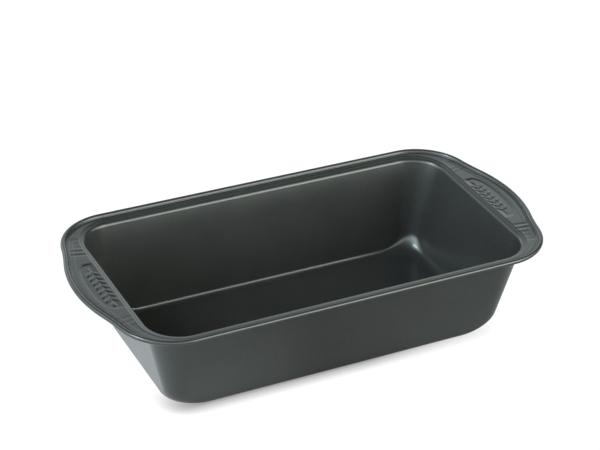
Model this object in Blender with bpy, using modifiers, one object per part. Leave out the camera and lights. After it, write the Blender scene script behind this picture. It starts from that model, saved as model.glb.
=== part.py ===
"""Loaf pan with two lobed handles, pressed from one steel sheet.

Frame: +Z up, +X along the long axis, +Y across. The origin is the centre of
the flat base, on the plane the pan stands on. The handles are at the -X and
+X ends. Dimensions are in millimetres and the meshes are built in metres.

Two pieces:
  pan_shell  the pressed sheet: floor, floor fillet, drafted walls, edge
             radius, flange, handle lobes and the rim rolled round the wire
  rim_wire   the stiffening wire closed inside the rolled rim

The sheet is modelled on its middle surface and thickened by a modifier.
"""
import math

import bmesh
import bpy
import numpy as np

MM = 0.001

SHEET = 0.6                 # sheet thickness
HALF_SHEET = SHEET / 2

# Tub, outer skin at the base plane (where wall and floor would meet sharp)
BASE_HALF_L = 103.2
BASE_HALF_W = 50.6
BASE_CORNER_R = 9.4         # plan radius there
FLOOR_FILLET_SIDE = 4.5     # floor-to-wall radius along the long sides
FLOOR_FILLET_END = 6.0      # floor-to-wall radius across the ends
FLOOR_FILLET_CORNER = 15.2  # floor-to-wall radius round the bottom corners

# Tub, inner skin where wall and flange would meet sharp
OPEN_HALF_L = 116.75
OPEN_HALF_W = 62.2
OPEN_CORNER_R = 20.2
FLANGE_Z = 58.0             # top of the flange beside the opening
FLANGE_MID_Z = FLANGE_Z - HALF_SHEET
EDGE_R = 2.7                # wall-to-flange radius on the inner skin

# Wall angles from vertical, the same on both skins
DRAFT_END = math.atan2(OPEN_HALF_L + SHEET - BASE_HALF_L, FLANGE_Z)
DRAFT_SIDE = math.atan2(OPEN_HALF_W + SHEET - BASE_HALF_W, FLANGE_Z)
DRAFT_CORNER = (DRAFT_END + DRAFT_SIDE) / 2

# Rolled rim
BEAD_R = 1.5                # outside radius of the roll
BEAD_MID_R = BEAD_R - HALF_SHEET
BEAD_Z = 58.8               # height of its centre line
NECK_R = 0.7                # hollow between flange and roll, on mid-sheet
ROLL_ANGLE = math.radians(300.0)    # how far the sheet wraps round the wire
WIRE_R = 0.55

# Plan of the rim's centre line: lobe, shoulder and corner arcs per quarter
TIP_X = 138.95              # lobe tip
LOBE_R = 89.0
SHOULDER_R = 145.0          # hollow shoulder between lobe and corner
CORNER_R = 32.0
CORNER_CENTRE_X = 98.65
SIDE_Y = 69.55

# Sunk panel in each handle
PANEL_DEPTH = 0.5
PANEL_HALF_Y = 24.0         # full depth out to here
PANEL_RAMP = 3.0            # distance beyond that over which the depth fades

# Flange section: fraction of the way from opening to neck, share of the depth
FLANGE_STEPS = ((0.12, 0.0), (0.17, 1.0), (0.70, 1.0), (0.75, 0.0), (1.0, 0.0))

# Resolution
N_END, N_CORNER, N_SIDE = 6, 7, 5       # stations per quarter
N_FILLET, N_CORNER_FILLET = 5, 4        # steps up the floor fillets
N_EDGE, N_NECK, N_ROLL = 4, 2, 10
N_RIM_ARC = 300                         # points on each arc of the rim's plan
WIRE_SIDES = 8

# A plan direction this close to an axis counts as lying along it
ALONG_AXIS = 0.999999


# ---- plan curves -----------------------------------------------------------
def arc(centre, radius, start, end):
    """Points on a plan arc, leaving out its last one."""
    angle = np.linspace(start, end, N_RIM_ARC, endpoint=False)
    return centre + radius * np.stack([np.cos(angle), np.sin(angle)], 1)


def heading(vector):
    return math.atan2(vector[1], vector[0])


def rim_quarter():
    """Centre line of the rolled rim from the lobe tip to the long side."""
    lobe = np.array([TIP_X - LOBE_R, 0.0])
    corner = np.array([CORNER_CENTRE_X, SIDE_Y - CORNER_R])

    # The shoulder's centre lies outside the rim, tangent to both other arcs
    to_lobe = LOBE_R + SHOULDER_R
    to_corner = CORNER_R + SHOULDER_R
    gap = corner - lobe
    distance = math.hypot(*gap)
    along = (to_lobe**2 - to_corner**2 + distance**2) / (2 * distance)
    across = math.sqrt(to_lobe**2 - along**2)
    unit = gap / distance
    shoulder = lobe + along * unit + across * np.array([unit[1], -unit[0]])

    lobe_end = heading(shoulder - lobe)
    corner_start = heading(shoulder - corner)
    return np.vstack([
        arc(lobe, LOBE_R, 0.0, lobe_end),
        arc(shoulder, SHOULDER_R, lobe_end + math.pi, corner_start + math.pi),
        arc(corner, CORNER_R, corner_start, math.pi / 2),
        [[CORNER_CENTRE_X, SIDE_Y], [0.0, SIDE_Y]],
    ])


def plan_stations():
    """One (kind, fraction, x sign, y sign) entry per station, anticlockwise
    from the +X axis. The kind is the part of the quarter it lies on."""
    parts = (("end", N_END), ("corner", N_CORNER), ("side", N_SIDE))
    quarter = [(kind, i / count) for kind, count in parts for i in range(count)]
    returning = list(reversed(quarter[1:] + [("side", 1.0)]))
    turns = ((quarter, 1, 1), (returning, -1, 1), (quarter, -1, -1), (returning, 1, -1))
    return [(kind, fraction, sign_x, sign_y)
            for part, sign_x, sign_y in turns for kind, fraction in part]


RIM = rim_quarter()
STATIONS = plan_stations()


def plan_point(kind, fraction, half_l, half_w, radius):
    """Point and outward normal on the +X +Y quarter of a rounded rectangle."""
    if kind == "end":
        return np.array([half_l, (half_w - radius) * fraction]), np.array([1.0, 0.0])
    if kind == "side":
        return (np.array([(half_l - radius) * (1 - fraction), half_w]),
                np.array([0.0, 1.0]))
    angle = math.pi / 2 * fraction
    normal = np.array([math.cos(angle), math.sin(angle)])
    return np.array([half_l - radius, half_w - radius]) + radius * normal, normal


def rim_point(start, direction):
    """Where the ray from start meets the rim's centre line, with the outward
    normal of that line."""
    offset = ((RIM[:, 0] - start[0]) * direction[1]
              - (RIM[:, 1] - start[1]) * direction[0])
    along_x = direction[0] > ALONG_AXIS
    if along_x:
        i = int(np.searchsorted(RIM[:, 1], start[1], side="right")) - 1
        i = max(0, min(i, len(RIM) - 2))
    elif direction[1] > ALONG_AXIS and start[0] <= RIM[-2, 0]:
        i = len(RIM) - 2
    else:
        i = int(np.nonzero((offset[:-1] >= 0) & (offset[1:] <= 0))[0][0])
    before, after = offset[i], offset[i + 1]
    t = 0.0 if before == after else before / (before - after)
    segment = RIM[i + 1] - RIM[i]
    point = RIM[i] + segment * min(max(t, 0.0), 1.0)
    if start[1] == 0.0 and along_x:
        # The lobe tip faces straight along X, unlike the chord beside it
        return point, np.array([1.0, 0.0])
    return point, np.array([segment[1], -segment[0]]) / math.hypot(*segment)


def mirrored(points, sign_x, sign_y):
    """Points of the +X +Y quarter carried to another quarter."""
    return [(sign_x * x, sign_y * y, z) for x, y, z in points]


# ---- tub, on mid-sheet -----------------------------------------------------
def tub_ring(half_l, half_w, radius, z):
    """A closed rounded rectangle at one height."""
    ring = []
    for kind, fraction, sign_x, sign_y in STATIONS:
        (x, y), _ = plan_point(kind, fraction, half_l, half_w, radius)
        ring += mirrored([(x, y, z)], sign_x, sign_y)
    return ring


def wall_half(z, half_base, draft):
    """Half size of the wall line at height z, without fillets."""
    return half_base + z * math.tan(draft) - HALF_SHEET / math.cos(draft)


def fillet_inset(z, draft, fillet):
    """How far the floor fillet holds the sheet in from the wall line."""
    radius = fillet - HALF_SHEET
    height = z - HALF_SHEET
    if height >= radius * (1 - math.sin(draft)):
        return 0.0
    reach = math.sqrt(max(0.0, 1 - (1 - height / radius) ** 2))
    return radius * (math.tan(math.pi / 4 - draft / 2) - reach) + height * math.tan(draft)


def tub_sizes(z):
    """Half length, half width and corner radius at height z. The corner
    radius opens towards the floor so that the fillet is wider there."""
    inset_end = fillet_inset(z, DRAFT_END, FLOOR_FILLET_END)
    inset_side = fillet_inset(z, DRAFT_SIDE, FLOOR_FILLET_SIDE)
    inset_corner = fillet_inset(z, DRAFT_CORNER, FLOOR_FILLET_CORNER)
    radius_gain = OPEN_CORNER_R + SHEET - BASE_CORNER_R
    radius = BASE_CORNER_R - HALF_SHEET + radius_gain * z / FLANGE_Z
    diagonal = math.sqrt(0.5)
    radius += ((inset_corner * diagonal - (inset_end + inset_side) / 2)
               / (1 - diagonal))
    return np.array([wall_half(z, BASE_HALF_L, DRAFT_END) - inset_end,
                     wall_half(z, BASE_HALF_W, DRAFT_SIDE) - inset_side,
                     radius])


def fillet_heights():
    """Even steps round the side fillet, then round the rest of the corner's."""
    side_r = FLOOR_FILLET_SIDE - HALF_SHEET
    corner_r = FLOOR_FILLET_CORNER - HALF_SHEET
    side_sweep = math.pi / 2 - DRAFT_SIDE
    heights = [HALF_SHEET + side_r * (1 - math.cos(side_sweep * i / N_FILLET))
               for i in range(N_FILLET + 1)]
    start = math.acos(1 - (heights[-1] - HALF_SHEET) / corner_r)
    sweep = math.pi / 2 - DRAFT_CORNER - start
    heights += [HALF_SHEET
                + corner_r * (1 - math.cos(start + sweep * i / N_CORNER_FILLET))
                for i in range(1, N_CORNER_FILLET + 1)]
    return heights


# Edge radius: an arc tangent to wall and flange, reaching from the sharp
# corner out to the sizes where the flange begins
EDGE_MID_R = EDGE_R - HALF_SHEET
EDGE_REACH = EDGE_MID_R * math.tan(math.pi / 4 - DRAFT_SIDE / 2)
SHARP_SIZES = tub_sizes(FLANGE_MID_Z)
FLANGE_START = SHARP_SIZES + EDGE_REACH


def edge_rings():
    rings = []
    for i in range(N_EDGE + 1):
        angle = DRAFT_SIDE + (math.pi / 2 - DRAFT_SIDE) * i / N_EDGE   # from vertical
        sizes = SHARP_SIZES + EDGE_REACH - EDGE_MID_R * math.cos(angle)
        z = FLANGE_MID_Z - EDGE_MID_R * (1 - math.sin(angle))
        rings.append(tub_ring(*sizes, z))
    return rings


# ---- flange and rolled rim, on mid-sheet -----------------------------------
def rim_stations():
    """Per station: flange start, rim point and normal in the +X +Y quarter,
    then the signs of its own quarter."""
    out = []
    for kind, fraction, sign_x, sign_y in STATIONS:
        start, direction = plan_point(kind, fraction, *FLANGE_START)
        rim, normal = rim_point(start, direction)
        out.append((start, rim, normal, sign_x, sign_y))
    return out


def flange_section(start, rim, normal):
    """Points from beside the opening to the neck, sunk at the panel."""
    run = rim - normal * (BEAD_MID_R + NECK_R) - start
    rise = BEAD_Z - NECK_R - FLANGE_MID_Z
    fade = (start[1] - PANEL_HALF_Y) / PANEL_RAMP
    depth = PANEL_DEPTH * min(max(1 - fade, 0.0), 1.0)
    return [(*(start + run * t), FLANGE_MID_Z + rise * t - depth * share)
            for t, share in FLANGE_STEPS]


def roll_section(rim, normal):
    """Points up the neck, then over the wire and back underneath it."""
    offsets = []            # (outward from the rim's centre line, upward)
    for i in range(1, N_NECK + 1):
        angle = math.pi / 2 * i / N_NECK
        offsets.append((-BEAD_MID_R - NECK_R + NECK_R * math.sin(angle),
                        -NECK_R * math.cos(angle)))
    for i in range(1, N_ROLL + 1):
        angle = math.pi - ROLL_ANGLE * i / N_ROLL
        offsets.append((BEAD_MID_R * math.cos(angle), BEAD_MID_R * math.sin(angle)))
    return [(*(rim + normal * out), BEAD_Z + up) for out, up in offsets]


def shell_rings(rim_path):
    """All rings of the sheet, from the floor outwards to the end of the roll."""
    rings = [tub_ring(*tub_sizes(z), z) for z in fillet_heights()]
    rings += edge_rings()
    columns = [mirrored(flange_section(start, rim, normal) + roll_section(rim, normal),
                        sign_x, sign_y)
               for start, rim, normal, sign_x, sign_y in rim_path]
    return rings + list(zip(*columns))


# ---- pieces ----------------------------------------------------------------
def add_verts(bm, points):
    return [bm.verts.new([value * MM for value in point]) for point in points]


def finish(name, bm):
    mesh = bpy.data.meshes.new(name)
    bm.to_mesh(mesh)
    bm.free()
    return bpy.data.objects.new(name, mesh)


def pan_shell(rim_path):
    bm = bmesh.new()
    rows = [add_verts(bm, ring) for ring in shell_rings(rim_path)]
    for low, high in zip(rows, rows[1:]):
        for i in range(len(low)):
            j = (i + 1) % len(low)
            bm.faces.new((low[i], low[j], high[j], high[i])).smooth = True
    bm.faces.new(list(reversed(rows[0]))).smooth = False      # flat floor
    shell = finish("pan_shell", bm)

    sheet = shell.modifiers.new("sheet", "SOLIDIFY")
    sheet.thickness = SHEET * MM
    sheet.offset = 0.0
    sheet.use_even_offset = True
    sheet.use_quality_normals = True
    sheet.use_rim = True
    return shell


def rim_wire(rim_path):
    """Round wire swept along the rim's centre line."""
    bm = bmesh.new()
    angles = [2 * math.pi * (k + 0.5) / WIRE_SIDES for k in range(WIRE_SIDES)]
    loops = []
    for _, rim, normal, sign_x, sign_y in rim_path:
        section = [(*(rim + normal * (WIRE_R * math.cos(angle))),
                    BEAD_Z + WIRE_R * math.sin(angle)) for angle in angles]
        loops.append(add_verts(bm, mirrored(section, sign_x, sign_y)))
    for this, following in zip(loops, loops[1:] + loops[:1]):
        for k in range(WIRE_SIDES):
            j = (k + 1) % WIRE_SIDES
            bm.faces.new((this[k], this[j], following[j], following[k])).smooth = True
    bmesh.ops.recalc_face_normals(bm, faces=bm.faces[:])
    return finish("rim_wire", bm)


# ---- materials -------------------------------------------------------------
def material(name, color, roughness, metallic, coat=0.0):
    mat = bpy.data.materials.new(name)
    mat.use_nodes = True
    inputs = mat.node_tree.nodes["Principled BSDF"].inputs
    inputs["Base Color"].default_value = (*color, 1.0)
    inputs["Roughness"].default_value = roughness
    inputs["Metallic"].default_value = metallic
    inputs["Coat Weight"].default_value = coat
    mat.diffuse_color = (*color, 1.0)
    return mat


def nonstick_coating():
    return material("nonstick_coating", color=(0.055, 0.060, 0.062),
                    roughness=0.32, metallic=0.35, coat=0.3)


def wire_steel():
    return material("wire_steel", color=(0.50, 0.50, 0.49),
                    roughness=0.38, metallic=1.0)


def main():
    for ob in list(bpy.data.objects):
        bpy.data.objects.remove(ob, do_unlink=True)
    group = bpy.data.collections.new("loaf_pan")
    bpy.context.scene.collection.children.link(group)
    rim_path = rim_stations()
    for ob, mat in ((pan_shell(rim_path), nonstick_coating()),
                    (rim_wire(rim_path), wire_steel())):
        ob.data.materials.append(mat)
        group.objects.link(ob)


main()
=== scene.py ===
"""Loaf pan: the finished look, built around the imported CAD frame.

The pan stands on z = 0 with its length along X and a handle lobe at each end.
The pressed shell is lofted afresh from one mirrored quarter, with the relief of
the flange and handles in its geometry. The rim wire keeps its CAD node. Lengths
are millimetres until a mesh is written; stage, light and shader values are metres.
"""
import math

import bmesh
import bpy
import numpy as np
from mathutils import Matrix, Vector


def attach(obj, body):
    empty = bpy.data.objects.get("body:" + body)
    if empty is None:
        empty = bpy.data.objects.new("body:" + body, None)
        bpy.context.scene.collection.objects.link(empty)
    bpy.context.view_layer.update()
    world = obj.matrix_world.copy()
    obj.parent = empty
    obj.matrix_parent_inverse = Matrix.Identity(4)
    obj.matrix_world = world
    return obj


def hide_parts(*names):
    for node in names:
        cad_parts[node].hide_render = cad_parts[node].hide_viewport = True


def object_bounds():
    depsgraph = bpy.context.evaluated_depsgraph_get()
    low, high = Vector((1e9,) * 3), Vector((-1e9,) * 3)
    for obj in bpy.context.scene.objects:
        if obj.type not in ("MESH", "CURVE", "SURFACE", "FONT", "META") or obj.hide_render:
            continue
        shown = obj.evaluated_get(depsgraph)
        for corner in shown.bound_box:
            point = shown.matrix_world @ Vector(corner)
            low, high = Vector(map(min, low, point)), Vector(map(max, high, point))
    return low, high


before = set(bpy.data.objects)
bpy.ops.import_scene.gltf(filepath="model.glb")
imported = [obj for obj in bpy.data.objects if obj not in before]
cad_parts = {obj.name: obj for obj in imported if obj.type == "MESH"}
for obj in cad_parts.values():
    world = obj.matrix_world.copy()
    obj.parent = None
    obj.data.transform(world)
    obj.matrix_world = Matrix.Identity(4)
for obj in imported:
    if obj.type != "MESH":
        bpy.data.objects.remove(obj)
cad_lo, cad_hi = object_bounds()

MM = 0.001

# ---------------------------------------------------------------- dimensions
# overall sizes come from the CAD box; these three place the rim's centre line
BEAD_R = 1.5                                      # outside of the rolled rim
TIP_X = (cad_hi[0] - cad_lo[0]) / MM / 2 - BEAD_R
SIDE_Y = (cad_hi[1] - cad_lo[1]) / MM / 2 - BEAD_R
BEAD_Z = cad_hi[2] / MM - BEAD_R

SHEET = 0.6
HALF_SHEET = SHEET / 2
BASE_HALF_L, BASE_HALF_W, BASE_CORNER_R = 103.2, 50.6, 9.4
FLOOR_FILLET_SIDE, FLOOR_FILLET_END, FLOOR_FILLET_CORNER = 4.5, 6.0, 15.2
OPEN_HALF_L, OPEN_HALF_W, OPEN_CORNER_R = 116.75, 62.2, 20.2
FLANGE_Z, EDGE_R = 58.0, 2.7                      # flange top, bend at the opening
NECK_R, ROLL_DEG = 0.7, 300.0                     # bend into the roll, its sweep
LOBE_R, SHOULDER_R, CORNER_R, CORNER_CX = 89.0, 145.0, 32.0, 98.65

# draft of the walls from upright, in radians
DRAFT_L = math.atan2(OPEN_HALF_L + SHEET - BASE_HALF_L, FLANGE_Z)
DRAFT_W = math.atan2(OPEN_HALF_W + SHEET - BASE_HALF_W, FLANGE_Z)
DRAFT_CORNER = (DRAFT_L + DRAFT_W) / 2

# stations per quarter and rows per section
N_END, N_CORNER, N_SIDE = 88, 28, 10
N_FILLET, N_CORNER_FILLET, N_WALL = 10, 8, 3
N_EDGE, N_FLANGE, N_RIM_SIDE, N_NECK, N_ROLL = 6, 30, 22, 4, 13
N_RIM_ARC = 1000                                  # samples per arc of the rim
RIM_BAND, RIM_BAND_SHARE = 5.5, 0.45              # closer rows: width, most of flange
FLOOR_RINGS = (0.80, 0.55, 0.30)                  # scale of each floor loop
SHARP_DEG = 50


# ------------------------------------------------------------------ the plan
def rim_quarter():
    """Centre line of the rolled rim from the lobe tip to the long side: its
    points, outward normals and running length."""
    lobe_c = np.array([TIP_X - LOBE_R, 0.0])
    corner_c = np.array([CORNER_CX, SIDE_Y - CORNER_R])
    # the hollow shoulder arc touches the lobe and corner arcs from outside
    lobe_reach, corner_reach = LOBE_R + SHOULDER_R, CORNER_R + SHOULDER_R
    gap = corner_c - lobe_c
    dist = math.hypot(*gap)
    along = (lobe_reach * lobe_reach - corner_reach * corner_reach + dist * dist) / (2 * dist)
    height = math.sqrt(lobe_reach * lobe_reach - along * along)
    unit = gap / dist
    shoulder_c = lobe_c + along * unit + height * np.array([unit[1], -unit[0]])
    lobe_end = math.atan2(*(shoulder_c - lobe_c)[::-1])
    corner_start = math.atan2(*(shoulder_c - corner_c)[::-1])

    def arc(centre, radius, start, end):
        angle = np.linspace(start, end, N_RIM_ARC, endpoint=False)
        out = np.stack([np.cos(angle), np.sin(angle)], 1)
        return centre + radius * out, out

    lobe, lobe_n = arc(lobe_c, LOBE_R, 0.0, lobe_end)
    shoulder, shoulder_n = arc(shoulder_c, SHOULDER_R, lobe_end + math.pi,
                               corner_start + math.pi)
    corner, corner_n = arc(corner_c, CORNER_R, corner_start, math.pi / 2)
    points = np.vstack([lobe, shoulder, corner, [[CORNER_CX, SIDE_Y], [0.0, SIDE_Y]]])
    normals = np.vstack([lobe_n, -shoulder_n, corner_n, [[0.0, 1.0], [0.0, 1.0]]])
    lengths = np.r_[0, np.cumsum(np.hypot(*np.diff(points, axis=0).T))]
    return points, normals, lengths


RIM, RIM_NORMALS, RIM_LENGTHS = rim_quarter()

# a quarter's stations, lobe tip to the middle of the side: the part each lies
# on (0 end, 1 corner, 2 side) and the fraction along it
PART = np.r_[np.zeros(N_END), np.ones(N_CORNER), np.full(N_SIDE + 1, 2)]
FRAC = np.r_[np.arange(N_END) / N_END, np.arange(N_CORNER) / N_CORNER,
             np.arange(N_SIDE + 1) / N_SIDE]


def plan(half_l, half_w, radius):
    """Points and outward normals of a quarter of a rounded rectangle."""
    angle = math.pi / 2 * FRAC
    out = np.stack([np.cos(angle), np.sin(angle)], 1)
    end = np.stack([np.full_like(FRAC, half_l), (half_w - radius) * FRAC], 1)
    corner = np.array([half_l - radius, half_w - radius]) + radius * out
    side = np.stack([(half_l - radius) * (1 - FRAC), np.full_like(FRAC, half_w)], 1)
    part = PART[:, None]
    points = np.where(part == 0, end, np.where(part == 1, corner, side))
    normals = np.where(part == 0, [1.0, 0.0], np.where(part == 1, out, [0.0, 1.0]))
    return points, normals


def rim_hits(points, rays):
    """Rim point, normal and running length where each station's ray meets it."""
    hits, normals = np.zeros_like(points), np.zeros_like(points)
    lengths = np.zeros(len(points))
    for i, (start, ray) in enumerate(zip(points, rays)):
        if PART[i] == 0:
            cross = start[1] - RIM[:, 1]
        else:
            cross = (RIM[:, 0] - start[0]) * ray[1] - (RIM[:, 1] - start[1]) * ray[0]
        j = int(np.nonzero((cross[:-1] >= 0) & (cross[1:] <= 0))[0][0])
        span = cross[j] - cross[j + 1]
        part = 0.0 if span == 0 else cross[j] / span
        hits[i] = RIM[j] + (RIM[j + 1] - RIM[j]) * part
        normal = RIM_NORMALS[j] + (RIM_NORMALS[j + 1] - RIM_NORMALS[j]) * part
        normals[i] = normal / math.hypot(*normal)
        lengths[i] = RIM_LENGTHS[j] + (RIM_LENGTHS[j + 1] - RIM_LENGTHS[j]) * part
    return hits, normals, lengths


# ---------------------------------------------------------------- the section
def wall_line(z, half_base, draft):
    """Half size of the mid-sheet at height z, before the floor fillet."""
    return half_base + z * math.tan(draft) - HALF_SHEET / math.cos(draft)


def fillet_inset(z, draft, fillet):
    """How far the floor fillet holds the mid-sheet in from the wall line."""
    radius = fillet - HALF_SHEET
    height = z - HALF_SHEET
    if height >= radius * (1 - math.sin(draft)):
        return 0.0
    reach = math.sqrt(max(0.0, 1 - (1 - height / radius) ** 2))
    return radius * (math.tan(math.pi / 4 - draft / 2) - reach) + height * math.tan(draft)


def tub_size(z):
    """Half sizes and corner radius of the mid-sheet at height z. The corner
    radius opens towards the floor so that the fillet is wider there."""
    inset_l = fillet_inset(z, DRAFT_L, FLOOR_FILLET_END)
    inset_w = fillet_inset(z, DRAFT_W, FLOOR_FILLET_SIDE)
    inset_corner = fillet_inset(z, DRAFT_CORNER, FLOOR_FILLET_CORNER)
    radius = (BASE_CORNER_R - HALF_SHEET
              + (OPEN_CORNER_R + SHEET - BASE_CORNER_R) * z / FLANGE_Z)
    diagonal = math.sqrt(0.5)
    radius += (inset_corner * diagonal - (inset_l + inset_w) / 2) / (1 - diagonal)
    return (wall_line(z, BASE_HALF_L, DRAFT_L) - inset_l,
            wall_line(z, BASE_HALF_W, DRAFT_W) - inset_w, radius)


def fillet_heights():
    """Even steps round the side fillet, then round the rest of the corner's."""
    side_r, corner_r = FLOOR_FILLET_SIDE - HALF_SHEET, FLOOR_FILLET_CORNER - HALF_SHEET
    heights = [HALF_SHEET + side_r * (1 - math.cos((math.pi / 2 - DRAFT_W) * i / N_FILLET))
               for i in range(N_FILLET + 1)]
    start = math.acos(1 - (heights[-1] - HALF_SHEET) / corner_r)
    end = math.pi / 2 - DRAFT_CORNER
    heights += [HALF_SHEET + corner_r * (1 - math.cos(start + (end - start) * i
                                                      / N_CORNER_FILLET))
                for i in range(1, N_CORNER_FILLET + 1)]
    return heights


# ------------------------------------------------------- relief of the handles
# Pairs are the distances over which a shape fades in or out. OPEN ones count
# from the opening, RIM ones from the rim's centre line.
RISE, RISE_OPEN, RISE_RIM = 0.34, (2.4, 3.7), (1.9, 3.3)   # step beside the opening
DIP, DIP_OPEN = 0.14, (3.8, 4.7)                  # fall behind the crest
DIP_WIDTH = (12.0, 15.0)                          # flange widths that lose the dip

PANEL_IN = OPEN_HALF_L + 4.0                      # where the sunk panel starts
PANEL_X = (PANEL_IN - 1.0, PANEL_IN + 2.5)
PANEL_RIM, PANEL_Y, PANEL_CORNER = 6.5, 25.0, 3.5   # outer edge, end, corner radius
PANEL_D, PANEL_RAMP, PANEL_END = 0.45, 0.80, 2.2  # depth, ramps at edge and end

EAR_X, EAR_D, EAR_INSIDE = OPEN_HALF_L + 8.0, 0.40, (0.9, 1.5)   # inside the panel
STEM_H, STEM_HALF_W, STEM_HALF_L = 0.55, (0.2, 0.6), (19.0, 20.5)
KERNEL_PAIRS, KERNEL_Y, KERNEL_PITCH = 7, -13.6, 4.7
KERNEL_OUT, KERNEL_TURN = 2.0, 0.60               # off the stem, splay in radians
KERNEL_HALF_L, KERNEL_HALF_W = 2.7, 1.15
TIP_KERNEL_Y, TIP_KERNEL_HALF_L = 19.6, 2.8

RIB_Y, RIB_PITCH, RIB_D = 31.7, 4.2, 0.20         # flutes beside the panel
RIB_TILT, RIB_IN = 0.20, 3                        # slope, and where it starts
RIB_START, RIB_STOP = (30.0, 32.0), (50.0, 52.5)
RIB_RIM, RIB_OPEN = (2.6, 3.8), (2.6, 4.2)
RIB_STRONG, RIB_WEAK = 1.0, 0.4

LINE_RIM, LINE_PITCH, LINE_N = 3.0, 1.05, 3       # fine lines along the edge
LINE_D, LINE_W = 0.13, 0.32
LINE_STOP, LINE_OPEN = (50.0, 54.0), (4.4, 5.6)   # STOP is measured along the rim


def smooth(span, x):
    """Ease from 0 to 1 as x crosses the span."""
    start, end = span
    part = np.clip((x - start) / (end - start), 0.0, 1.0)
    return part * part * (3 - 2 * part)


def kernel(x, y, mid_x, mid_y, turn, half_len):
    """A smooth kernel-shaped swell, 1 at its middle and 0 outside."""
    cos, sin = math.cos(turn), math.sin(turn)
    along = ((x - mid_x) * cos + (y - mid_y) * sin) / half_len
    across = (-(x - mid_x) * sin + (y - mid_y) * cos) / KERNEL_HALF_W
    return np.sqrt(np.clip(1 - along * along - across * across, 0, 1))


def ear_of_grain(x, y):
    """A plain ear of grain laid along the handle: stem and paired kernels."""
    height = (STEM_H * (1 - smooth(STEM_HALF_W, np.abs(x - EAR_X)))
              * (1 - smooth(STEM_HALF_L, np.abs(y))))
    for k in range(KERNEL_PAIRS):
        for side in (-1, 1):
            height = np.maximum(height, kernel(
                x, y, EAR_X + side * KERNEL_OUT, KERNEL_Y + KERNEL_PITCH * k,
                math.pi / 2 - side * KERNEL_TURN, KERNEL_HALF_L))
    return np.maximum(height, kernel(x, y, EAR_X, TIP_KERNEL_Y, math.pi / 2,
                                     TIP_KERNEL_HALF_L))


def relief(x, y, from_open, from_rim, along_rim):
    """Height added to the flat flange. x and y are plan positions, from_open and
    from_rim the distances from the opening and the rim's centre line, along_rim
    the length along the rim from the lobe tip."""
    abs_x, abs_y = np.abs(x), np.abs(y)
    crest = 1 - DIP / RISE * smooth(DIP_OPEN, from_open) * (
        1 - smooth(DIP_WIDTH, from_rim + from_open))
    z = RISE * smooth(RISE_OPEN, from_open) * smooth(RISE_RIM, from_rim) * crest

    # the sunk panel, with round outer corners, shallowing towards the opening
    in_edge = from_rim - PANEL_RIM
    in_end = (PANEL_Y - abs_y) * PANEL_RAMP / PANEL_END
    both = (in_edge < PANEL_CORNER) & (in_end < PANEL_CORNER)
    corner = PANEL_CORNER - np.hypot(PANEL_CORNER - np.minimum(in_edge, PANEL_CORNER),
                                     PANEL_CORNER - np.minimum(in_end, PANEL_CORNER))
    inside = np.where(both, corner, np.minimum(in_edge, in_end))
    sunk = smooth((0.0, PANEL_RAMP), inside) * smooth(PANEL_X, abs_x)
    z -= PANEL_D * sunk
    z += EAR_D * ear_of_grain(abs_x, y * np.sign(x)) * smooth(EAR_INSIDE, inside)

    # flutes across the flange, stronger on one side of the panel
    row = abs_y - RIB_TILT * (abs_x - OPEN_HALF_L - RIB_IN)
    wave = 0.5 - 0.5 * np.cos(2 * math.pi * (row - RIB_Y) / RIB_PITCH)
    along = smooth(RIB_START, row) * (1 - smooth(RIB_STOP, row))
    across = smooth(RIB_RIM, from_rim) * smooth(RIB_OPEN, from_open)
    z -= RIB_D * wave * along * across * np.where(y * x < 0, RIB_STRONG, RIB_WEAK)

    # fine lines that follow the outer edge of the handle
    line = np.zeros_like(x)
    for k in range(LINE_N):
        line = np.maximum(line, np.exp(
            -((from_rim - LINE_RIM - k * LINE_PITCH) / LINE_W) ** 2))
    z += (LINE_D * line * (1 - smooth(LINE_STOP, along_rim))
          * smooth(LINE_OPEN, from_open) * (1 - sunk))
    return z


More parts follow.
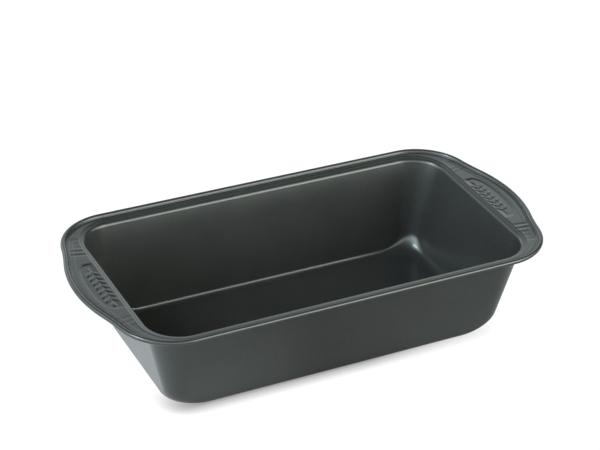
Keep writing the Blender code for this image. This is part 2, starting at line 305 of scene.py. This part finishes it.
# --------------------------------------------------------------- the pan shell
def shell_rows():
    """Rows of mid-sheet points over one quarter, floor to the end of the roll:
    plan points, heights and the distances the relief needs, or None."""
    rows = []

    def flat_row(size, z):
        points, _ = plan(*size)
        rows.append((points, np.full(len(points), z), None))

    heights = fillet_heights()
    flange_z = FLANGE_Z - HALF_SHEET
    edge_r = EDGE_R - HALF_SHEET
    wall_start, wall_end = heights[-1], flange_z - edge_r * (1 - math.sin(DRAFT_W))
    heights += [wall_start + (wall_end - wall_start) * i / N_WALL for i in range(1, N_WALL)]
    for z in heights:
        flat_row(tub_size(z), z)

    # the bend out of the wall into the flange
    top = tub_size(flange_z)
    reach = edge_r * math.tan(math.pi / 4 - DRAFT_W / 2)
    for i in range(N_EDGE + 1):
        angle = DRAFT_W + (math.pi / 2 - DRAFT_W) * i / N_EDGE
        out = reach - edge_r * math.cos(angle)
        flat_row([size + out for size in top], flange_z - edge_r * (1 - math.sin(angle)))

    start, rays = plan(*(size + reach for size in top))
    rim, normals, along_rim = rim_hits(start, rays)
    roll_r = BEAD_R - HALF_SHEET
    neck_x = roll_r + NECK_R
    end = rim - normals * neck_x
    length = np.hypot(*(end - start).T)
    open_start = reach + HALF_SHEET * 0.5
    # the rows close up towards the rim, where the finest lines are
    close = (np.minimum(RIM_BAND, RIM_BAND_SHARE * length) / length)[:, None]
    for i in range(1, N_FLANGE + N_RIM_SIDE + 1):
        if i <= N_FLANGE:
            part = (1 - close) * (i / N_FLANGE)
        else:
            part = 1 - close * (1 - (i - N_FLANGE) / N_RIM_SIDE)
        flat = part[:, 0]
        rows.append((start + (end - start) * part,
                     flange_z + (BEAD_Z - NECK_R - flange_z) * flat,
                     (open_start + length * flat, neck_x + length * (1 - flat), along_rim)))

    def rim_row(out, z):
        rows.append((rim + normals * out, np.full(len(rim), z), None))

    for i in range(1, N_NECK + 1):
        angle = math.pi / 2 * i / N_NECK
        rim_row(-neck_x + NECK_R * math.sin(angle), BEAD_Z - NECK_R * math.cos(angle))
    for i in range(1, N_ROLL + 1):
        angle = math.pi - math.radians(ROLL_DEG) * i / N_ROLL
        rim_row(roll_r * math.cos(angle), BEAD_Z + roll_r * math.sin(angle))
    return rows


def full_ring(quarter, signs=(1, 1, 1)):
    """Mirror a quarter's values to all four quarters, anticlockwise; the signs
    are those of the second, third and fourth."""
    return np.concatenate([quarter, quarter[::-1][1:] * signs[0], quarter[1:] * signs[1],
                           quarter[::-1][1:-1] * signs[2]])


def close_floor(bm, ring):
    """Shrink rings to a small loop, which one face fills."""
    last = ring
    for scale in FLOOR_RINGS:
        loop = [bm.verts.new((vert.co.x * scale, vert.co.y * scale, HALF_SHEET * MM))
                for vert in ring]
        for i in range(len(ring)):
            j = (i + 1) % len(ring)
            bm.faces.new((loop[i], loop[j], last[j], last[i]))
        last = loop
    bm.faces.new(list(reversed(last)))


def sheet_mesh():
    """The mid-sheet surface of the whole pan."""
    levels = []
    for points, heights, distances in shell_rows():
        x = full_ring(points[:, 0], (-1, -1, 1))
        y = full_ring(points[:, 1], (1, -1, -1))
        z = full_ring(heights)
        if distances is not None:
            z = z + relief(x, y, *(full_ring(values) for values in distances))
        levels.append(np.stack([x, y, z], 1))
    count = len(levels[0])
    i = np.arange(count)
    j = (i + 1) % count
    quads = np.concatenate([np.stack([k * count + i, k * count + j, (k + 1) * count + j,
                                      (k + 1) * count + i], 1)
                            for k in range(len(levels) - 1)])
    mesh = bpy.data.meshes.new("pan_shell_fine")
    mesh.from_pydata((np.concatenate(levels) * MM).tolist(), [], quads.tolist())
    mesh.update()

    bm = bmesh.new()
    bm.from_mesh(mesh)
    bm.verts.ensure_lookup_table()
    close_floor(bm, [bm.verts[k] for k in range(count)])
    bmesh.ops.recalc_face_normals(bm, faces=bm.faces[:])
    for face in bm.faces:
        face.smooth = True
    bm.to_mesh(mesh)
    bm.free()
    return mesh


def build_shell():
    """Thicken the mid-sheet to the pressing."""
    mesh = sheet_mesh()
    shell = bpy.data.objects.new("pan_shell_pressing", mesh)
    bpy.context.scene.collection.objects.link(shell)
    thicken = shell.modifiers.new("sheet", "SOLIDIFY")
    thicken.thickness = SHEET * MM
    thicken.offset = 0.0
    thicken.use_even_offset = True
    thicken.use_quality_normals = True
    depsgraph = bpy.context.evaluated_depsgraph_get()
    solid = bpy.data.meshes.new_from_object(shell.evaluated_get(depsgraph))
    shell.modifiers.clear()
    shell.data = solid
    solid.name = "pan_shell_pressing"
    bpy.data.meshes.remove(mesh)
    solid.shade_smooth()
    solid.set_sharp_from_angle(angle=math.radians(SHARP_DEG))
    return shell


# ------------------------------------------------------------------- materials
BLACK, WHITE = (0, 0, 0), (1, 1, 1)


class Shader:
    """Fills an emptied node tree. Any input is a value or another node's output."""

    def __init__(self, owner):
        owner.use_nodes = True
        self.tree = owner.node_tree
        self.tree.nodes.clear()

    def add(self, kind, inputs=None, **settings):
        new = self.tree.nodes.new("ShaderNode" + kind)
        for name, value in settings.items():
            setattr(new, name, value)
        for key, value in (inputs or {}).items():
            if isinstance(value, bpy.types.NodeSocket):
                self.tree.links.new(value, new.inputs[key])
            else:
                new.inputs[key].default_value = value
        return new

    def maths(self, operation, *operands):
        return self.add("Math", dict(enumerate(operands)), operation=operation).outputs[0]

    def scaled(self, source, scale, offset=0.0):
        return self.maths("MULTIPLY_ADD", source, scale, offset)

    def fade(self, source, start, length, limit=1.0):
        """Rise evenly from 0 at start, by 1 per length, up to the limit."""
        rise = self.maths("DIVIDE", self.maths("SUBTRACT", source, start), length)
        return self.maths("MINIMUM", self.maths("MAXIMUM", rise, 0.0), limit)

    def noise(self, coords, scale, detail, roughness):
        return self.add("TexNoise", {"Vector": coords, "Scale": scale, "Detail": detail,
                                     "Roughness": roughness}).outputs["Fac"]

    def ramp(self, source, *stops):
        """Two stops, each a position and a colour."""
        ramp = self.add("ValToRGB", {"Fac": source})
        for element, (position, colour) in zip(ramp.color_ramp.elements, stops):
            element.position = position
            element.color = (*colour, 1.0)
        return ramp.outputs["Color"]

    def mix(self, factor, first, second):
        return self.add("Mix", {"Factor": factor, "A": first, "B": second},
                        data_type="RGBA").outputs["Result"]

    def bump(self, height, strength, distance, **inputs):
        return self.add("Bump", {"Strength": strength, "Distance": distance,
                                 "Height": height, **inputs}).outputs["Normal"]

    def object_coords(self):
        return self.add("TexCoord").outputs["Object"]


def coating_material():
    """Dark grey-green non-stick coating: faint tone drift, fine fleck, soft
    orange peel, a slightly paler, smoother look where edges get rubbed, and
    painted shade in tight creases, which are darker and less reflective there."""
    material = bpy.data.materials.new("nonstick_coating")
    shader = Shader(material)
    coords = shader.object_coords()
    drift = shader.noise(coords, scale=28.0, detail=3.0, roughness=0.55)
    fleck = shader.noise(coords, scale=2600.0, detail=2.0, roughness=0.6)
    peel = shader.noise(coords, scale=620.0, detail=3.0, roughness=0.5)
    smear = shader.noise(coords, scale=90.0, detail=4.0, roughness=0.6)

    base = shader.ramp(drift, (0.30, (0.0151, 0.0158, 0.0149)),
                       (0.70, (0.0200, 0.0208, 0.0197)))
    spots = shader.ramp(fleck, (0.56, BLACK), (0.72, WHITE))
    colour = shader.mix(shader.scaled(spots, scale=0.55), base, second=(0.048, 0.052, 0.051, 1))

    bend = shader.add("NewGeometry").outputs["Pointiness"]
    edge = shader.ramp(bend, (0.505, BLACK), (0.56, WHITE))
    rubbed = shader.ramp(smear, (0.35, (0.15, 0.15, 0.15)), (0.65, WHITE))
    worn = shader.maths("MULTIPLY", edge, rubbed)
    colour = shader.mix(shader.scaled(worn, scale=0.22), colour, second=(0.060, 0.062, 0.060, 1))
    # painted shade: tight creases are darkened towards black, standing in for occlusion
    crease_shade = shader.ramp(bend, (0.40, WHITE), (0.475, BLACK))
    colour = shader.mix(shader.scaled(crease_shade, scale=0.6), colour, second=(0.004, 0.005, 0.005, 1))

    rough = shader.maths("ADD", shader.scaled(smear, scale=0.08, offset=0.20),
                         shader.scaled(fleck, scale=0.06, offset=-0.03))
    rough = shader.maths("SUBTRACT", rough, shader.scaled(worn, scale=0.05))
    peeled = shader.bump(peel, strength=0.20, distance=0.00008)
    surface = shader.add("BsdfPrincipled", {
        "Base Color": colour,
        # less specular in creases: part of the painted crease shade
        "Specular IOR Level": shader.scaled(crease_shade, scale=-0.35, offset=0.5),
        "Roughness": rough,
        "IOR": 1.52,
        "Specular Tint": (0.93, 1.0, 0.985, 1),
        "Metallic": 0.0,
        "Normal": shader.bump(fleck, strength=0.22, distance=0.00003, Normal=peeled)})
    shader.add("OutputMaterial", {"Surface": surface.outputs["BSDF"]})
    return material


def wire_material():
    """Drawn steel: bright, with fine scratches and patchy dullness."""
    material = bpy.data.materials.new("wire_steel")
    shader = Shader(material)
    coords = shader.object_coords()
    dull = shader.noise(coords, scale=140.0, detail=4.0, roughness=0.6)
    scratch = shader.noise(coords, scale=1800.0, detail=2.0, roughness=0.6)
    surface = shader.add("BsdfPrincipled", {
        "Base Color": shader.ramp(dull, (0.3, (0.40, 0.40, 0.39)), (0.7, (0.58, 0.58, 0.57))),
        "Roughness": shader.scaled(dull, scale=0.25, offset=0.22),
        "Metallic": 1.0,
        "Normal": shader.bump(scratch, strength=0.25, distance=0.00002)})
    shader.add("OutputMaterial", {"Surface": surface.outputs["BSDF"]})
    return material


# ----------------------------------------------------------------- the floor
FLOOR_HALF, FLOOR_Z = 4.0, -0.1 * MM              # just clear of the pan's flat base
# radiance of the floor as the pan reflects it, by side, and as it is seen
FLOOR_RIGHT, FLOOR_BACK, FLOOR_LEFT, FLOOR_FRONT = 0.55, 0.2, 1.00, 0.30
FLOOR_MIDDLE, FLOOR_SEEN = 0.35, 1.05
FLOOR_TINT, SEEN_TINT = (0.94, 1.01, 1.035, 1), (1.0, 1.0, 1.0, 1)
MIDDLE_R, MIDDLE_FADE = 0.02, 0.03                # the even patch under the pan
FAR_R, FAR_FADE, FLOOR_FAR = 0.20, 0.30, 1.2      # extra light further out
# painted contact shadow: reach, strength, and where it fades in (-Y) and out (+X)
SHADOW_REACH, SHADOW_SAMPLES, SHADOW_STRENGTH = 0.008, 8, 0.85
SHADOW_FRONT, SHADOW_FRONT_FADE = 0.025, 0.025
SHADOW_RIGHT, SHADOW_RIGHT_FADE, SHADOW_RIGHT_LOSS = 0.02, 0.11, 0.8


def floor_reflected(shader, x, y):
    """Radiance the pan sees: by side, even in the middle, brighter far out."""
    maths = shader.maths
    squares = maths("ADD", maths("MULTIPLY", x, x), maths("MULTIPLY", y, y))
    radius = maths("MAXIMUM", maths("SQRT", squares), MIDDLE_R)
    lit = None
    for axis, sign, power in ((x, 1.0, FLOOR_RIGHT), (y, 1.0, FLOOR_BACK),
                              (x, -1.0, FLOOR_LEFT), (y, -1.0, FLOOR_FRONT)):
        facing = maths("MAXIMUM", maths("MULTIPLY", maths("DIVIDE", axis, radius), sign), 0.0)
        part = maths("MULTIPLY", maths("MULTIPLY", facing, facing), power)
        lit = part if lit is None else maths("ADD", lit, part)
    outside = shader.fade(radius, MIDDLE_R, MIDDLE_FADE)
    lit = maths("ADD", maths("MULTIPLY", lit, outside),
                maths("MULTIPLY", maths("SUBTRACT", 1.0, outside), FLOOR_MIDDLE))
    far = shader.fade(radius, FAR_R, FAR_FADE)
    return maths("MULTIPLY", lit, maths("ADD", maths("MULTIPLY", far, FLOOR_FAR), 1.0))


def floor_shade(shader, x, y):
    """Painted contact shadow along the front, weaker towards the +X end."""
    maths = shader.maths
    shade = shader.add("AmbientOcclusion", {"Distance": SHADOW_REACH}, samples=SHADOW_SAMPLES)
    front = shader.fade(maths("MULTIPLY", y, -1.0), SHADOW_FRONT, SHADOW_FRONT_FADE)
    right = maths("SUBTRACT", 1.0, shader.fade(x, SHADOW_RIGHT, SHADOW_RIGHT_FADE,
                                               limit=SHADOW_RIGHT_LOSS))
    amount = maths("MULTIPLY", maths("MULTIPLY", front, right), SHADOW_STRENGTH)
    return maths("MULTIPLY", maths("SUBTRACT", 1.0, shade.outputs["AO"]), amount)


def floor_material():
    """A glowing white floor, with a painted contact shadow close to the pan's front. It is
    white to the eye all round, while the pan reflects a different light from each side."""
    material = bpy.data.materials.new("studio_floor")
    shader = Shader(material)
    place = shader.add("SeparateXYZ", {0: shader.object_coords()})
    x, y = place.outputs["X"], place.outputs["Y"]
    eye = shader.add("LightPath").outputs["Is Camera Ray"]
    power = shader.add("Mix", {"Factor": eye, "A": floor_reflected(shader, x, y),
                               "B": FLOOR_SEEN}).outputs["Result"]
    # painted contact shadow: the glow is dimmed where the floor is occluded near the pan
    unshaded = shader.maths("SUBTRACT", 1.0, floor_shade(shader, x, y))
    glow = shader.add("Emission", {"Color": shader.mix(eye, FLOOR_TINT, SEEN_TINT),
                                   "Strength": shader.maths("MULTIPLY", power, unshaded)})
    # clear from underneath, so that the base can be looked at
    surface = shader.add("MixShader", {
        0: shader.add("NewGeometry").outputs["Backfacing"],
        1: glow.outputs[0],
        2: shader.add("BsdfTransparent").outputs[0]})
    shader.add("OutputMaterial", {"Surface": surface.outputs[0]})
    return material


def add_floor():
    bm = bmesh.new()
    bmesh.ops.create_grid(bm, x_segments=2, y_segments=2, size=FLOOR_HALF)
    mesh = bpy.data.meshes.new("studio_floor")
    bm.to_mesh(mesh)
    bm.free()
    floor = bpy.data.objects.new("studio_floor", mesh)
    floor.location.z = FLOOR_Z
    bpy.context.scene.collection.objects.link(floor)
    mesh.materials.append(floor_material())


# --------------------------------------------------------- lighting and camera
# soft lights all round: elevation and azimuth from +X in degrees, radiance,
# coolness from 0 to 1
SOFT_LIGHTS = (
    (6, 51.4, 0.75, 0.5), (6, 77.1, 0.24, 0.5), (6, 102.9, 1.39, 0.5), (6, 154.3, 1.31, 0.3),
    (6, 180, 2.59, 0.3), (6, 308.6, 3.01, 0.3), (25, 51.4, 1.4, 0.5), (25, 77.1, 0.6, 0.5),
    (25, 102.9, 1.57, 0.5), (25, 128.6, 0.68, 0.5), (25, 154.3, 2.23, 1), (25, 180, 6.15, 1),
    (25, 205.7, 4.7, 1), (25, 231.4, 2.2, 0.5), (25, 257.1, 3.18, 0), (25, 282.9, 1.99, 0),
    (14, 295, 6, 0), (25, 308.6, 5.8, 0), (25, 334.3, 3.19, 0), (44, 120, 0.06, 0.5),
    (44, 180, 0.8, 1), (44, 210, 0.6, 1), (63, 0, 0.05, 0.5),
)
SOFT_TIGHTNESS = 24.0       # how closely a light's glow keeps to its direction
SOFTBOX = (46, 174, 42.0, 0.6, 220.0)             # the same columns, then tightness
NEUTRAL, COOL = (0.985, 1.01, 0.95, 1), (0.88, 1.015, 1.10, 1)
FILL_BELOW, FILL_TOP = 0.9, -0.05                 # radiance, upper limit of ray z

CAMERA_AT = (-0.43279, -0.82127, 0.62055)
CAMERA_YAW, CAMERA_PITCH, CAMERA_ROLL = -27.6147, 30.7652, 2.2763   # degrees
CAMERA_LENS, CAMERA_SENSOR = 113.370, 36.0        # mm
CAMERA_CLIP = (0.05, 30)


def add_world():
    """The lights as round glows in the surroundings."""
    world = bpy.data.worlds.new("studio")
    bpy.context.scene.world = world
    shader = Shader(world)
    maths = shader.maths
    ray = shader.add("TexCoord").outputs["Generated"]
    total = cool = None
    for elevation, azimuth, power, coolness, tightness in (
            *((*light, SOFT_TIGHTNESS) for light in SOFT_LIGHTS), SOFTBOX):
        up, turn = math.radians(elevation), math.radians(azimuth)
        direction = (math.cos(up) * math.cos(turn), math.cos(up) * math.sin(turn),
                     math.sin(up))
        dot = shader.add("VectorMath", {0: ray, 1: direction}, operation="DOT_PRODUCT")
        fall = maths("MULTIPLY", maths("SUBTRACT", dot.outputs["Value"], 1.0), tightness)
        glow = maths("MULTIPLY", maths("EXPONENT", fall), power)
        blue = maths("MULTIPLY", glow, coolness)
        total = glow if total is None else maths("ADD", total, glow)
        cool = blue if cool is None else maths("ADD", cool, blue)
    # a plain even fill below the floor, which the floor shuts off from above
    height = shader.add("SeparateXYZ", {0: ray}).outputs["Z"]
    below = maths("LESS_THAN", height, FILL_TOP)
    total = maths("ADD", total, maths("MULTIPLY", below, FILL_BELOW))
    tint = shader.mix(maths("DIVIDE", cool, total), NEUTRAL, COOL)
    light = shader.add("Background", {"Color": tint, "Strength": total})
    shader.add("OutputWorld", {0: light.outputs[0]})


def add_camera():
    yaw, pitch, roll = (math.radians(a) for a in (CAMERA_YAW, CAMERA_PITCH, CAMERA_ROLL))
    forward = Vector((math.sin(-yaw) * math.cos(pitch), math.cos(-yaw) * math.cos(pitch),
                      -math.sin(pitch)))
    right = Vector((forward.y, -forward.x, 0)).normalized()
    up = right.cross(forward)
    axes = (right * math.cos(roll) + up * math.sin(roll),
            up * math.cos(roll) - right * math.sin(roll), -forward)
    data = bpy.data.cameras.new("camera")
    data.sensor_fit = "HORIZONTAL"
    data.sensor_width = CAMERA_SENSOR
    data.lens = CAMERA_LENS
    data.clip_start, data.clip_end = CAMERA_CLIP
    camera = bpy.data.objects.new("camera", data)
    matrix = Matrix(axes).transposed().to_4x4()
    matrix.translation = Vector(CAMERA_AT)
    camera.matrix_world = matrix
    bpy.context.scene.collection.objects.link(camera)
    bpy.context.scene.camera = camera


# ----------------------------------------------------------------- put together
shell = build_shell()
shell.data.materials.append(coating_material())
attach(shell, "root")
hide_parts("pan_shell")

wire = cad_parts["rim_wire"]
wire.data.materials.clear()
wire.data.materials.append(wire_material())

add_floor()
add_world()
add_camera()
view = bpy.context.scene.view_settings
view.view_transform = "Standard"
view.look = "None"
view.exposure = 0.0
view.gamma = 1.0
